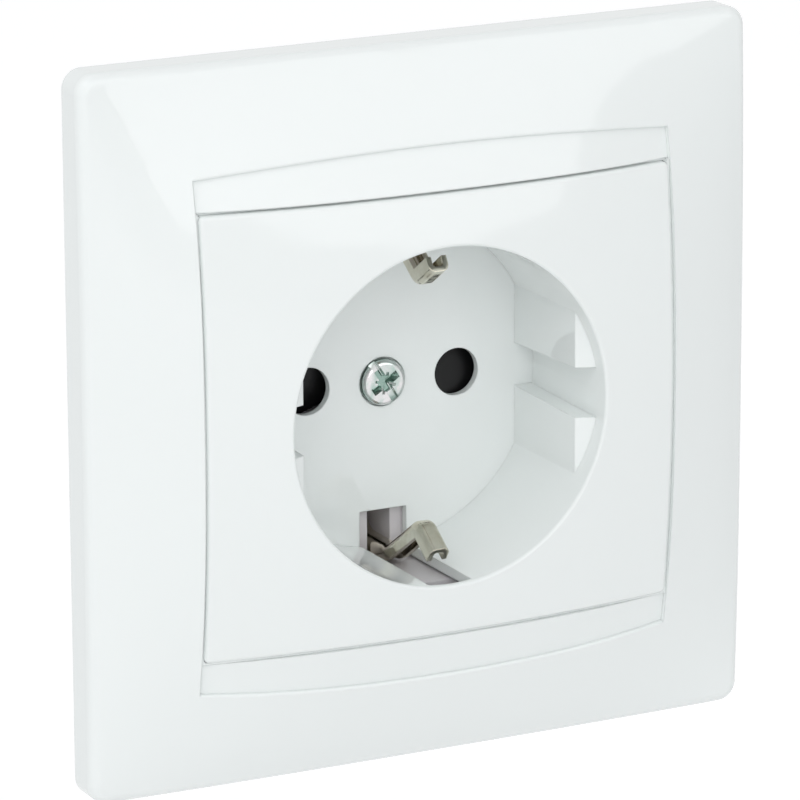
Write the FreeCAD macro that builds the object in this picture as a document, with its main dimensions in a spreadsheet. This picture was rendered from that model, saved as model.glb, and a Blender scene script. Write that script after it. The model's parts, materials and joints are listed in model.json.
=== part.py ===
import FreeCAD, Part
import math
import os
import re

import Sketcher
from FreeCAD import Placement, Rotation, Vector

# Frame: millimetres, +X to the right, +Z up, the wall plane at Y = 0 and the front facing -Y.
# The origin is the middle of the wall plane, on the axis of the plug well.
# A "front" distance is measured forwards from the wall plane, so Y = -front.

SIZES = [
    # Square cover frame, crowned like a cushion
    ("frame_side", 83.0),
    ("frame_corner_radius", 2.3),
    ("frame_datum", 4.4),
    ("frame_rise", 9.75),
    ("frame_power", 2.5),
    ("frame_edge_radius", 1.3),
    ("frame_wall", 2.2),
    ("frame_side_wall", 1.8),
    ("strip_lip_radius", 0.25),
    ("skirt_wall", 1.6),
    ("ledge_width", 1.8),
    ("ledge_top", 3.6),
    ("notch_width", 10.0),
    # Sunk strips above and below the centre cover
    ("strip_end_height", 3.5),
    ("strip_bow", 1.45),
    ("strip_sink", 0.6),
    # Centre cover with its plug well
    ("cover_width", 58.4),
    ("cover_height", 50.8),
    ("cover_gap", 0.3),
    ("cover_corner_radius", 0.6),
    ("cover_datum", 4.0),
    ("cover_rise", 9.23),
    ("cover_reach", 49.3),
    ("cover_wall", 2.0),
    ("cover_side_wall", 1.6),
    ("cover_edge_radius", 0.45),
    ("well_radius", 19.5),
    ("well_wall", 1.2),
    ("well_depth", 17.5),
    ("well_lip_radius", 0.3),
    ("floor_wall", 1.0),
    ("pin_spacing", 19.0),
    ("pin_hole_radius", 2.8),
    ("guide_flat", 17.05),
    ("guide_step", 3.0),
    ("guide_bevel", 1.05),
    ("groove_floor_width", 5.0),
    ("groove_front_width", 5.9),
    ("earth_slot_width", 6.0),
    ("earth_slot_inner", 15.1),
    ("earth_channel_width", 5.4),
    ("earth_channel_step", 0.8),
    ("counterbore_radius", 2.9),
    ("counterbore_depth", 0.6),
    ("boss_radius", 3.4),
    # Cover screw and its nut
    ("cover_screw_radius", 1.5),
    ("cover_screw_length", 11.0),
    ("cover_head_radius", 2.75),
    ("cover_head_height", 1.5),
    ("head_edge_size", 0.4),
    ("screw_play", 0.2),
    ("nut_width", 5.5),
    ("nut_height", 2.2),
    ("thread_play", 0.05),
    ("recess_slot_width", 0.9),
    ("recess_slot_depth", 0.6),
    ("recess_cross_length", 3.4),
    ("recess_cross_width", 0.75),
    ("recess_cross_depth", 0.9),
    ("recess_pit_radius", 0.75),
    ("recess_pit_depth", 1.2),
    ("cover_slot_angle", 58.0),
    # Child-protection shutter, turning on the boss of the cover
    ("shutter_play", 0.1),
    ("shutter_hub_radius", 5.1),
    ("shutter_hub_gap", 0.2),
    ("shutter_sink", 0.75),
    ("shutter_wing_radius", 13.2),
    ("shutter_wing_angle", 20.0),
    ("shutter_ramp_angle", 8.0),
    ("shutter_rear_gap", 0.3),
    ("spring_radius", 4.35),
    ("spring_wire_radius", 0.2),
    ("spring_angle", 120.0),
    ("spring_play", 0.05),
    ("spring_leg", 2.4),
    ("spring_foot", 2.2),
    # Moulded base of the insert
    ("deck_depth", 10.4),
    ("base_overlap", 4.7),
    ("base_width", 51.0),
    ("base_shell", 1.4),
    ("base_depth", 30.0),
    ("base_bore_play", 0.4),
    ("tongue_width", 8.4),
    ("tongue_wall", 1.3),
    ("tongue_gap", 0.1),
    ("tongue_front", 5.8),
    ("tongue_relief_depth", 6.0),
    ("tongue_root", 3.0),
    ("cheek_wall", 1.2),
    ("cheek_play", 0.2),
    ("strap_play", 0.2),
    ("spring_pocket_radius", 5.7),
    ("pin_passage_radius", 2.9),
    ("deck_wall", 3.8),
    ("contact_cell_width", 9.0),
    ("contact_cell_height", 12.0),
    ("tail_channel_length", 12.0),
    ("side_cell_length", 10.0),
    ("side_cell_height", 10.4),
    ("bend_relief", 1.0),
    ("screw_tip_room", 0.6),
    ("rear_cover_wall", 1.6),
    ("wire_hole_radius", 1.7),
    ("rear_screw_offset", 14.0),
    # Earth strap with its two folded clips
    ("strap_wall", 0.6),
    ("strap_depth", 12.1),
    ("strap_width", 6.4),
    ("clip_width", 2.5),
    ("clip_fold", 1.85),
    ("clip_fold_radius", 0.35),
    ("clip_leg", 18.7),
    ("clip_knee_depth", 3.3),
    ("clip_ridge", 13.42),
    ("clip_ridge_front", 4.7),
    ("clip_tip", 16.1),
    ("clip_tip_front", 8.7),
    ("clip_ridge_radius", 1.9),
    ("clip_knee_radius", 2.0),
    ("clip_root_radius", 2.4),
    ("link_top", 8.0),
    ("link_width", 4.5),
    ("tail_inner", 5.0),
    ("tail_width", 6.5),
    ("tail_setback", 5.0),
    # Line and neutral contacts
    ("contact_wall", 0.8),
    ("contact_width", 6.4),
    ("contact_gap", 4.4),
    ("contact_mouth", 3.6),
    ("contact_waist", 3.4),
    ("contact_pinch", 0.25),
    ("contact_throat_run", 4.2),
    ("contact_waist_run", 2.5),
    ("contact_front", 14.8),
    ("contact_rear_gap", 3.0),
    ("contact_tail_width", 7.0),
    ("contact_tail_run", 4.5),
    ("tail_plate_setback", 4.0),
    # Screw terminals
    ("clamp_wall", 1.2),
    ("clamp_width", 9.0),
    ("clamp_length", 8.0),
    ("terminal_screw_radius", 1.65),
    ("terminal_screw_length", 7.0),
    ("terminal_head_radius", 2.6),
    ("terminal_head_height", 1.9),
    ("terminal_setback", 9.0),
    # Zinc-plated support ring with its box-screw slots
    ("ring_side", 71.0),
    ("ring_corner_radius", 9.0),
    ("ring_wall", 1.2),
    ("ring_bore_play", 2.1),
    ("box_screw_spacing", 60.0),
    ("box_slot_width", 4.2),
    ("box_slot_length", 8.0),
    ("ring_screw_radius", 1.25),
    ("ring_screw_length", 8.0),
    ("ring_screw_head_radius", 2.3),
    ("ring_screw_head_height", 1.5),
    ("ring_screw_land", 1.4),
]

# Places that follow from the sizes, each written with names that come after it
DERIVED = [
    # Front distances of the well's floor and of its rim, where the bore meets the crowned face
    ("floor_front", "(rim_front - well_depth)"),
    ("rim_front", "(cover_datum + cover_rise * (1 - (well_radius / cover_reach) ^ 2))"),
    # The moulded base round the well, and the ring that clamps it
    ("ring_screw_circle", "(ring_bore_radius + ring_screw_land)"),
    ("base_radius", "(ring_bore_radius + base_overlap)"),
    ("ring_bore_radius", "(well_outside + ring_bore_play)"),
    # Contacts and terminals near the walls of the base
    ("tail_offset", "(base_height / 2 - tail_setback)"),
    ("base_height", "(2 * (well_outside + base_bore_play + base_shell))"),
    ("tail_plate_offset", "(base_width / 2 - tail_plate_setback)"),
    ("contact_rear", "(base_depth - contact_rear_gap)"),
    ("terminal_depth", "(base_depth - terminal_setback)"),
    ("well_outside", "(well_radius + well_wall)"),
]

doc = FreeCAD.newDocument("type_f_wall_socket")
sheet = doc.addObject("Spreadsheet::Sheet", "Sizes")
for row, (alias, value) in enumerate(SIZES, start=1):
    sheet.set(f"A{row}", alias)
    sheet.set(f"B{row}", str(value))
    sheet.setAlias(f"B{row}", alias)
doc.recompute()

NODES = {}
# Cutting shapes reach past the whole part: across it, in front of it, and through it
ACROSS, AHEAD, THROUGH = "120", "40", "90"


def size(text):
    """The present value of a size, or of a sum of sizes."""
    return float(sheet.evalExpression(bound(text)))


def bound(text):
    """An expression in which derived names are spelt out, and every size is read from the sheet."""
    for name, formula in DERIVED:
        text = re.sub(rf"\b{name}\b", formula, text)
    names = {alias for alias, _ in SIZES}
    return re.sub(r"[a-z_]+", lambda word: f"Sizes.{word[0]}" if word[0] in names else word[0], text)


class Piece:
    """One body of the document, built from sketches that lie parallel to the wall."""

    def __init__(self, label, base=None):
        self.body = doc.addObject("PartDesign::Body", label)
        self.body.Label = label
        self.label = label
        if base is not None:
            self.body.BaseFeature = base
            doc.recompute()

    def plane(self, role):
        return [item for item in self.body.Origin.OriginFeatures if item.Role == role][0]

    def sketch(self, name, front="0", role="XZ_Plane"):
        """A sketch on one of the body's own planes, moved along its normal."""
        drawing = self.body.newObject("Sketcher::SketchObject", f"{self.label}_{name}_sketch")
        drawing.AttachmentSupport = (self.plane(role), [""])
        drawing.MapMode = "FlatFace"
        drawing.setExpression("AttachmentOffset.Base.z", bound(front))
        return drawing

    def volume(self):
        return self.body.Shape.Volume if self.body.Tip else 0.0

    def pad(self, name, shapes, front, depth):
        """Material from the front distance back towards the room side of the wall box."""
        drawing = self.sketch(name, front)
        for shape in shapes:
            shape(drawing)
        feature = self.body.newObject("PartDesign::Pad", f"{self.label}_{name}")
        feature.Profile = drawing
        feature.Reversed = True
        feature.setExpression("Length", bound(depth))
        doc.recompute()
        return feature

    def pocket(self, name, shapes, front, depth, role="XZ_Plane", midplane=False):
        """A cut from the front distance backwards, or both ways from a middle plane."""
        drawing = self.sketch(name, front, role)
        for shape in shapes:
            shape(drawing)
        before = self.volume()
        feature = self.body.newObject("PartDesign::Pocket", f"{self.label}_{name}")
        feature.Profile = drawing
        feature.Midplane = midplane
        feature.setExpression("Length", bound(depth))
        doc.recompute()
        if not self.volume() < before - 1e-6:
            raise RuntimeError(f"{self.label}: the cut {name} takes nothing away")
        return feature

    def dress(self, kind, name, edges, radius):
        """A fillet or chamfer on the edges that a test picks from the last shape."""
        base = self.body.Tip
        found = [f"Edge{i}" for i, edge in enumerate(base.Shape.Edges, start=1) if edges(edge)]
        if not found:
            raise RuntimeError(f"{self.label}: no edge for {name}")
        feature = self.body.newObject(f"PartDesign::{kind}", f"{self.label}_{name}")
        feature.Base = (base, found)
        feature.setExpression("Radius" if kind == "Fillet" else "Size", bound(radius))
        doc.recompute()
        return feature

    def place(self, x="0", front="0", z="0", turn=None):
        """Move the whole piece, and turn it about its own origin first."""
        if turn is not None:
            self.body.Placement = Placement(Vector(0, 0, 0), turn)
        self.body.setExpression("Placement.Base.x", bound(x))
        self.body.setExpression("Placement.Base.y", bound(f"-({front})"))
        self.body.setExpression("Placement.Base.z", bound(z))


def circle(radius, x="0", z="0"):
    """A circle of a bound radius round a bound centre."""
    def draw(drawing):
        ring = drawing.addGeometry(Part.Circle(Vector(1, 1, 0), Vector(0, 0, 1), 1.0), False)
        limits = [(Sketcher.Constraint("Radius", ring, 1.0), radius),
                  (Sketcher.Constraint("DistanceX", -1, 1, ring, 3, 1.0), x),
                  (Sketcher.Constraint("DistanceY", -1, 1, ring, 3, 1.0), z)]
        for limit, text in limits:
            index = drawing.addConstraint(limit)
            drawing.setExpression(f"Constraints[{index}]", bound(text))
    return draw


def polygon(corners):
    """A closed outline of straight lines through bound corners."""
    def draw(drawing):
        count = len(corners)
        turn = 2 * math.pi / count
        spots = [Vector(math.cos(turn * i), math.sin(turn * i), 0) for i in range(count)]
        lines = [drawing.addGeometry(Part.LineSegment(spots[i], spots[(i + 1) % count]), False)
                 for i in range(count)]
        for i, line in enumerate(lines):
            drawing.addConstraint(Sketcher.Constraint("Coincident", line, 2, lines[(i + 1) % count], 1))
        for line, (x, z) in zip(lines, corners):
            for axis, text in (("DistanceX", x), ("DistanceY", z)):
                index = drawing.addConstraint(Sketcher.Constraint(axis, -1, 1, line, 1, 1.0))
                drawing.setExpression(f"Constraints[{index}]", bound(text))
    return draw


def rectangle(width, height, x="0", z="0"):
    """A rectangle about a bound centre."""
    left, right = f"({x}) - ({width}) / 2", f"({x}) + ({width}) / 2"
    low, high = f"({z}) - ({height}) / 2", f"({z}) + ({height}) / 2"
    return polygon([(left, low), (right, low), (right, high), (left, high)])


def middle(edge):
    """The point half way along an edge."""
    return edge.valueAt((edge.FirstParameter + edge.LastParameter) / 2)


def upright(edge):
    """True for a straight edge square to the wall."""
    return edge.Curve.TypeId == "Part::GeomLine" and abs(edge.tangentAt(edge.FirstParameter).y) > 0.999


def combine(kind, label, first, second):
    """A boolean of two objects of the document."""
    feature = doc.addObject(f"Part::{kind}", label)
    feature.Label = label
    feature.Base, feature.Tool = first, second
    doc.recompute()
    return feature


def solid(label, shape):
    """A piece whose shape comes straight from the geometry kernel."""
    feature = doc.addObject("Part::Feature", label)
    feature.Label = label
    feature.Shape = shape
    return feature


def fall(position, reach, power):
    """Share of the crown's rise that is left at a distance from the middle."""
    return 1 - abs(position / reach) ** power


def crowned_block(label, half, spans, datum, rise, reach, power, setback=0.0):
    """Material behind a crowned surface whose height falls off both ways from the middle.

    The height is datum + rise * g(x) * g(z), where g falls from 1 in the middle to 0 at the reach.
    """
    marks = [half * (2 * i / spans - 1) for i in range(spans + 1)]
    grid = [[Vector(x, setback - datum - rise * fall(x, reach, power) * fall(z, reach, power), z)
             for z in marks] for x in marks]
    surface = Part.BSplineSurface()
    surface.interpolate(grid)
    return solid(label, surface.toShape().extrude(Vector(0, float(AHEAD), 0)))


def trim(piece, name, width, height, corner=None):
    """Cut a block to a rectangle, and round its upright corners."""
    outside = rectangle(ACROSS, ACROSS)
    piece.pocket(name, [outside, rectangle(width, height)], AHEAD, THROUGH)
    if corner:
        piece.dress("Fillet", f"{name}_corners", upright, corner)


# Frame

WINDOW_WIDTH = "(cover_width + 2 * cover_gap)"
WINDOW_HEIGHT = "(cover_height + 2 * cover_gap)"


def make_frame():
    """Square frame: crowned face, sunk strips, hollow back, ledge that the centre cover clamps."""
    half, spans = size("frame_side") / 2, 8
    shape = (size("frame_datum"), size("frame_rise"), half, size("frame_power"))
    outer = Piece("frame_outer", crowned_block("frame_crown", half + 1, spans, *shape))
    trim(outer, "outline", "frame_side", "frame_side", "frame_corner_radius")
    outer.pocket("back", [rectangle(ACROSS, ACROSS)], "0", THROUGH)
    low = size("frame_datum") + 1
    outer.dress("Fillet", "edge", lambda edge: edge.BoundBox.YMax < -0.5 and -edge.BoundBox.YMin < low,
                "frame_edge_radius")

    hollow = crowned_block("frame_inner_crown", half + 1, spans, *shape, size("frame_wall"))
    inner = Piece("frame_hollow", hollow)
    trim(inner, "outline", "frame_side - 2 * frame_side_wall", "frame_side - 2 * frame_side_wall",
         "frame_corner_radius")
    skirt = rectangle(f"{WINDOW_WIDTH} + 2 * skirt_wall", f"{WINDOW_HEIGHT} + 2 * skirt_wall")
    inner.pocket("skirt", [skirt], AHEAD, THROUGH)
    shell = combine("Cut", "frame_shell", outer.body, inner.body)

    strips = sunk_strips(crowned_block("strip_crown", half + 1, spans, *shape, size("strip_sink")))
    carved = combine("Cut", "frame_carved", shell, strips)

    frame = Piece("frame", carved)
    lip = size("cover_height / 2 + cover_gap + strip_end_height + strip_bow")
    lip_front = size("frame_datum") + size("frame_rise") * fall(lip, half, size("frame_power"))
    frame.dress("Fillet", "strip_lips", lambda edge: edge.Length > size("cover_width")
                and abs(abs(middle(edge).z) - lip) < 0.1
                and -middle(edge).y > lip_front - size("strip_sink") / 2, "strip_lip_radius")
    frame.pocket("window", [rectangle(WINDOW_WIDTH, WINDOW_HEIGHT)], AHEAD, f"{AHEAD} - ledge_top")
    ledge = rectangle(f"{WINDOW_WIDTH} - 2 * ledge_width", f"{WINDOW_HEIGHT} - 2 * ledge_width")
    frame.pocket("ledge", [ledge], "ledge_top + 0.1", "ledge_top + 0.2")
    skirt_end = rectangle(f"{WINDOW_WIDTH} + 2 * skirt_wall + 1", f"{WINDOW_HEIGHT} + 2 * skirt_wall + 1")
    frame.pocket("skirt_end", [skirt_end], "ring_wall", "ring_wall + 1")
    frame.pocket("side_notches", [rectangle("frame_side - 2 * frame_side_wall - 2", "notch_width")],
                 "ledge_top", "ledge_top + 1")
    frame.pocket("end_notches", [rectangle("notch_width", "frame_side - 2 * frame_side_wall - 2")],
                 "ledge_top", "ledge_top + 1")
    NODES["frame"] = frame.body


def sunk_strips(surface):
    """The two bodies of air that sink the strips into the frame, bowed outwards on their far side."""
    half_chord = size("cover_width / 2 + cover_gap")
    bow = size("strip_bow")
    radius = (half_chord ** 2 + bow ** 2) / (2 * bow)
    lip = size("cover_height / 2 + cover_gap + strip_end_height + strip_bow")
    tools = []
    for side, name in ((1, "upper"), (-1, "lower")):
        disc = doc.addObject("Part::Cylinder", f"{name}_strip_bow")
        disc.Radius = radius
        disc.Height = AHEAD
        centre = Vector(0, -float(AHEAD), side * (lip - radius))
        disc.Placement = Placement(centre, Rotation(Vector(1, 0, 0), -90))
        bar = Piece(f"{name}_strip_bar")
        across = rectangle(WINDOW_WIDTH, WINDOW_HEIGHT, "0", f"({side}) * {WINDOW_HEIGHT}")
        bar.pad("bar", [across], AHEAD, AHEAD)
        tools.append(combine("Common", f"{name}_strip", bar.body, disc))
    both = combine("Fuse", "strips", tools[0], tools[1])
    return combine("Cut", "strip_air", both, surface)


# Centre cover

def make_centre_cover():
    """Crowned cover with the plug well, guide ribs, pin holes and earth openings, moulded in one."""
    half, spans = size("cover_width") / 2, 4
    shape = (size("cover_datum"), size("cover_rise"), size("cover_reach"), 2.0)
    outer = Piece("cover_outer", crowned_block("cover_crown", half + 1, spans, *shape))
    trim(outer, "outline", "cover_width", "cover_height", "cover_corner_radius")
    outer.pocket("back", [rectangle(ACROSS, ACROSS)], "ledge_top", THROUGH)
    outer.dress("Fillet", "edge", lambda edge: -edge.BoundBox.YMax > size("ledge_top") + 1
                and not upright(edge), "cover_edge_radius")
    hollow = crowned_block("cover_inner_crown", half + 1, spans, *shape, size("cover_wall"))
    inner = Piece("cover_hollow", hollow)
    trim(inner, "outline", "cover_width - 2 * cover_side_wall", "cover_height - 2 * cover_side_wall",
         "cover_corner_radius")
    inner.pocket("well", [circle("well_outside")], AHEAD, THROUGH)
    shell = combine("Cut", "cover_shell", outer.body, inner.body)

    well = Piece("cover_well", shell)
    well.pad("tube", [circle("well_outside")], "rim_front - 0.7 * cover_wall",
             "well_depth - 0.7 * cover_wall + floor_wall")
    well.pad("boss", [circle("boss_radius")], "floor_front - floor_wall / 2",
             "strap_depth + floor_front - floor_wall / 2")
    well.pocket("bore", [circle("well_radius")], AHEAD, f"{AHEAD} - floor_front")
    well.dress("Fillet", "rim", lambda edge: abs(-edge.BoundBox.YMin - size("rim_front")) < 0.4
               and abs(edge.BoundBox.XLength - 2 * size("well_radius")) < 0.01, "well_lip_radius")
    pin_holes = [circle("pin_hole_radius", f"{side} * pin_spacing / 2") for side in ("1", "-1")]
    well.pocket("pin_holes", pin_holes, "floor_front + 1", "floor_wall + 2")
    well.pocket("counterbore", [circle("counterbore_radius")], "floor_front + 1", "counterbore_depth + 1")
    well.pocket("screw_hole", [circle("cover_screw_radius + screw_play")], "floor_front", AHEAD)
    slot_outer = "(well_outside + 1)"
    slot = [rectangle("earth_slot_width", f"{slot_outer} - earth_slot_inner", "0",
                      f"{side} * ({slot_outer} + earth_slot_inner) / 2") for side in ("1", "-1")]
    well.pocket("earth_slots", slot, "floor_front", "floor_wall + 1")
    channel = [rectangle("earth_channel_width", "4", "0", f"{side} * (well_radius + 1)")
               for side in ("1", "-1")]
    well.pocket("earth_channels", channel, "rim_front - earth_channel_step", "well_depth")
    behind = "(tongue_gap + tongue_wall + tongue_gap)"
    relief = [rectangle("tongue_width + 2 * tongue_gap", behind, "0",
                        f"{side} * (well_outside + {behind} / 2)") for side in ("1", "-1")]
    well.pocket("tongue_reliefs", relief, "rim_front - earth_channel_step", "tongue_relief_depth")

    ribs = combine("Fuse", "centre_cover", well.body, guide_ribs().body)
    NODES["centre_cover"] = ribs


def guide_ribs():
    """Two flats that close the sides of the well, each with a drafted groove and a bevelled front."""
    ribs = Piece("guide_ribs")
    front = "(rim_front - guide_step)"
    top = f"({front} + guide_bevel)"
    ribs.pad("segments", [circle("well_radius + well_wall / 3")], top,
             f"{top} - floor_front + floor_wall / 2")
    ribs.pocket("flats", [rectangle("2 * guide_flat", ACROSS)], f"{top} + 1", AHEAD)
    for side in (-1, 1):
        edge = f"({side}) * guide_flat"
        wall = f"({side}) * (well_radius - 0.1)"
        spare = f"({side}) * (guide_flat - 1)"
        name = "left_bevel" if side < 0 else "right_bevel"
        slope = "(guide_bevel / (well_radius - 0.1 - guide_flat))"
        corners = [(spare, f"-({front} - {slope})"), (wall, f"-{top}"), (wall, f"-{top} - 2"),
                   (spare, f"-{top} - 2")]
        ribs.pocket(name, [polygon(corners)], "0", ACROSS, "XY_Plane", True)
    low, high = "floor_front - floor_wall", f"{top} + 1"
    groove = [(f"-({low})", "-groove_floor_width / 2"), (f"-({high})", "-groove_front_width / 2"),
              (f"-({high})", "groove_front_width / 2"), (f"-({low})", "groove_floor_width / 2")]
    ribs.pocket("grooves", [polygon(groove)], "0", ACROSS, "YZ_Plane", True)
    return ribs


# Screws

def make_screw(label, head_radius, head_height, shank_radius, shank_length, edge="Chamfer", slot_turn="0"):
    """A slotted pan-head screw, its head seat at its own origin."""
    screw = Piece(label)
    screw.pad("head", [circle(head_radius)], head_height, head_height)
    screw.dress(edge, "head_edge", lambda rim: rim.BoundBox.YMax < -0.1 and not upright(rim),
                "head_edge_size")
    screw.pad("shank", [circle(shank_radius)], "0", shank_length)
    slot = screw.pocket("slot", [rectangle(f"2 * {head_radius} + 1", "recess_slot_width")],
                        head_height, "recess_slot_depth")
    slot.Profile[0].setExpression("AttachmentOffset.Rotation.Angle", bound(slot_turn))
    doc.recompute()
    return screw


def make_cover_screw():
    """The screw in the middle of the well floor, with a combined slot and cross recess."""
    screw = make_screw("cover_screw", "cover_head_radius", "cover_head_height", "cover_screw_radius",
                       "cover_screw_length", "Fillet", "-cover_slot_angle")
    cross = screw.pocket("cross", [rectangle("recess_cross_length", "recess_cross_width")],
                         "cover_head_height", "recess_cross_depth")
    cross.Profile[0].setExpression("AttachmentOffset.Rotation.Angle", bound("90 - cover_slot_angle"))
    screw.pocket("pit", [circle("recess_pit_radius")], "cover_head_height", "recess_pit_depth")
    screw.place(front="floor_front - counterbore_depth")
    NODES["cover_screw"] = screw.body


def make_cover_nut():
    """Square nut under the earth strap, which takes the cover screw."""
    nut = Piece("cover_nut")
    nut.pad("block", [rectangle("nut_width", "nut_width")], "-strap_depth - strap_wall", "nut_height")
    nut.pocket("thread", [circle("cover_screw_radius + thread_play")], "0", THROUGH)
    NODES["cover_nut"] = nut.body


# Shutter and its spring

def make_shutter():
    """Black plate that hides both pin holes, and turns aside when both pins press on its ramps."""
    hub_front = "(floor_front - floor_wall - shutter_hub_gap)"
    wing_front = "(floor_front - floor_wall - shutter_sink)"
    rear = "(-deck_depth + shutter_rear_gap)"
    shutter = Piece("shutter")
    shutter.pad("wings", [circle("shutter_wing_radius")], wing_front, f"{wing_front} - {rear}")
    far = "(2 * shutter_wing_radius)"
    side, rise = f"{far} * cos(shutter_wing_angle)", f"{far} * sin(shutter_wing_angle)"
    for name, sign in (("upper_gap", ""), ("lower_gap", "-")):
        corners = [("0", "0"), (side, f"{sign}{rise}"), (side, f"{sign}{far}"), (f"-{side}", f"{sign}{far}"),
                   (f"-{side}", f"{sign}{rise}")]
        shutter.pocket(name, [polygon(corners)], "0", THROUGH)
    for name, start, sign in (("right_ramp", "shutter_wing_radius + 1", ""),
                              ("left_ramp", "-shutter_hub_radius", "-")):
        edge = "shutter_wing_radius * sin(shutter_wing_angle)"
        drop = f"2 * {edge} * tan(shutter_ramp_angle)"
        corners = [(f"-{wing_front} - 2", f"-({sign}{edge})"), (f"-{wing_front}", f"-({sign}{edge})"),
                   (f"-{wing_front} + {drop}", f"{sign}{edge}"), (f"-{wing_front} - 2", f"{sign}{edge}")]
        shutter.pocket(name, [polygon(corners)], start, "shutter_wing_radius + 1 - shutter_hub_radius",
                       "YZ_Plane")
    shutter.pad("hub", [circle("shutter_hub_radius")], hub_front, f"{hub_front} - {rear}")
    shutter.pocket("bore", [circle("boss_radius + shutter_play")], "0", THROUGH)
    spring_hole = circle("2 * spring_wire_radius", "spring_radius * cos(spring_angle)",
                         "-spring_radius * sin(spring_angle)")
    shutter.pocket("spring_hole", [spring_hole], f"{rear} + 1", "2")
    NODES["shutter"] = shutter.body


def make_shutter_spring():
    """Open ring of spring wire round the boss, with one end in the shutter's hub and one in the deck."""
    radius, wire, angle = size("spring_radius"), size("spring_wire_radius"), size("spring_angle")
    seat = size("strap_depth") - wire - size("spring_play")
    section = Part.Face(Part.Wire([Part.makeCircle(wire, Vector(-radius, seat, 0), Vector(0, 0, 1))]))
    ring = section.revolve(Vector(0, 0, 0), Vector(0, 1, 0), 180 + angle)
    leg, turn = 0.9 * wire, math.radians(angle)
    hub_spot = Vector(radius * math.cos(turn), seat, -radius * math.sin(turn))
    hub_leg = Part.makeCylinder(leg, size("spring_leg"), hub_spot, Vector(0, -1, 0))
    deck_leg = Part.makeCylinder(leg, size("spring_foot"), Vector(-radius, seat, 0), Vector(-1, 0, 0))
    NODES["shutter_spring"] = solid("shutter_spring", ring.fuse([hub_leg, deck_leg]))


# Folded strips

def bent_side(points, bends, offset):
    """One face of a folded strip, as lines and arcs at an offset to the left of its path."""
    path = [Vector(u, v, 0) for u, v in points]
    ways = [(b - a).normalize() for a, b in zip(path, path[1:])]
    lefts = [Vector(-way.y, way.x, 0) for way in ways]
    spots = [path[0] + lefts[0] * offset]
    pieces = []
    bend_rows = zip(path[1:-1], bends, ways, ways[1:], lefts, lefts[1:])
    for corner, radius, before, after, left, next_left in bend_rows:
        turn = 1 if before.cross(after).z > 0 else -1
        angle = before.getAngle(after)
        trim_back = radius * math.tan(angle / 2)
        inner = radius - offset * turn
        if inner > 0.05:
            start, end = corner - before * trim_back, corner + after * trim_back
            centre = start + left * (radius * turn)
            middle = centre + (corner - centre).normalize() * inner
            pieces.append((spots[-1], start + left * offset))
            pieces.append((start + left * offset, middle, end + next_left * offset))
            spots.append(end + next_left * offset)
        else:
            sharp = corner + (left + next_left) * (offset / (1 + left.dot(next_left)))
            pieces.append((spots[-1], sharp))
            spots.append(sharp)
    pieces.append((spots[-1], path[-1] + lefts[-1] * offset))
    return pieces


def bent_strip(points, bends, near, far, place, width):
    """A strip folded along a path: the band between two offsets, put in space and given its width."""
    first, second = bent_side(points, bends, near), bent_side(points, bends, far)
    ends = [(first[-1][-1], second[-1][-1]), (second[0][0], first[0][0])]
    edges = []
    for piece in first + [ends[0]] + [part[::-1] for part in reversed(second)] + [ends[1]]:
        spots = [place(spot.x, spot.y) for spot in piece]
        if spots[0].distanceToPoint(spots[-1]) < 1e-6:
            continue
        edges.append(Part.Arc(*spots).toShape() if len(spots) == 3 else Part.LineSegment(*spots).toShape())
    return Part.Face(Part.Wire(Part.sortEdges(edges)[0])).extrude(width)


def make_earth_strap():
    """Nickel-plated strap: both spring clips, the bridge under the shutter and the terminal tail in one."""
    depth, wall, leg = size("strap_depth"), size("strap_wall"), size("clip_leg")
    clip, fold = size("clip_width"), size("clip_fold")
    half_path = [(-size("clip_tip_front"), size("clip_tip")), (-size("clip_ridge_front"), size("clip_ridge")),
                 (size("clip_knee_depth"), leg), (depth, leg),
                 (depth, min(size("earth_slot_inner") - 1, leg - size("clip_root_radius") - 0.5))]
    bends = [size("clip_ridge_radius"), size("clip_knee_radius"), size("clip_root_radius")]

    def across(x):
        return lambda y, z: Vector(x, y, z)

    outer = bent_strip(half_path, bends, 0, fold, across(-clip / 2), Vector(clip, 0, 0))
    gutter = bent_strip(half_path, bends, wall, fold + 1, across(-clip / 2 + wall),
                        Vector(clip - 2 * wall, 0, 0))
    radius = size("clip_fold_radius")
    outer = round_folds(outer, clip / 2, half_path, wall, min(radius + wall, 0.45 * fold))
    gutter = round_folds(gutter, clip / 2 - wall, half_path, 1.5 * wall, radius)
    upper = outer.cut(gutter)
    lower = upper.mirror(Vector(0, 0, 0), Vector(0, 0, 1))
    reach = 2 * size("earth_slot_inner") - 1
    bridge = Part.makeBox(size("strap_width"), wall, reach,
                          Vector(-size("strap_width") / 2, depth, -reach / 2))
    tail, inner = size("tail_offset"), size("tail_inner")
    tail_end = size("terminal_depth") + size("contact_tail_run")
    plate = bent_strip([(depth, -size("link_top")), (depth, -tail), (tail_end, -tail)], [1.4],
                       0, wall, across(inner), Vector(size("tail_width"), 0, 0))
    link = Part.makeBox(inner + size("tail_width"), wall, size("link_width"),
                        Vector(0, depth, -size("link_top") - size("link_width")))
    strap = upper.fuse([lower, bridge, plate, link])
    hole = Part.makeCylinder(size("cover_screw_radius") + size("thread_play"), 4, Vector(0, depth - 1, 0),
                             Vector(0, 1, 0))
    tail_hole = Part.makeCylinder(size("terminal_screw_radius") + size("thread_play"), 4,
                                  Vector(inner + size("tail_width") / 2, size("terminal_depth"), -tail - 2),
                                  Vector(0, 0, 1))
    NODES["earth_strap"] = solid("earth_strap", strap.cut([hole, tail_hole]).removeSplitter())


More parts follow.
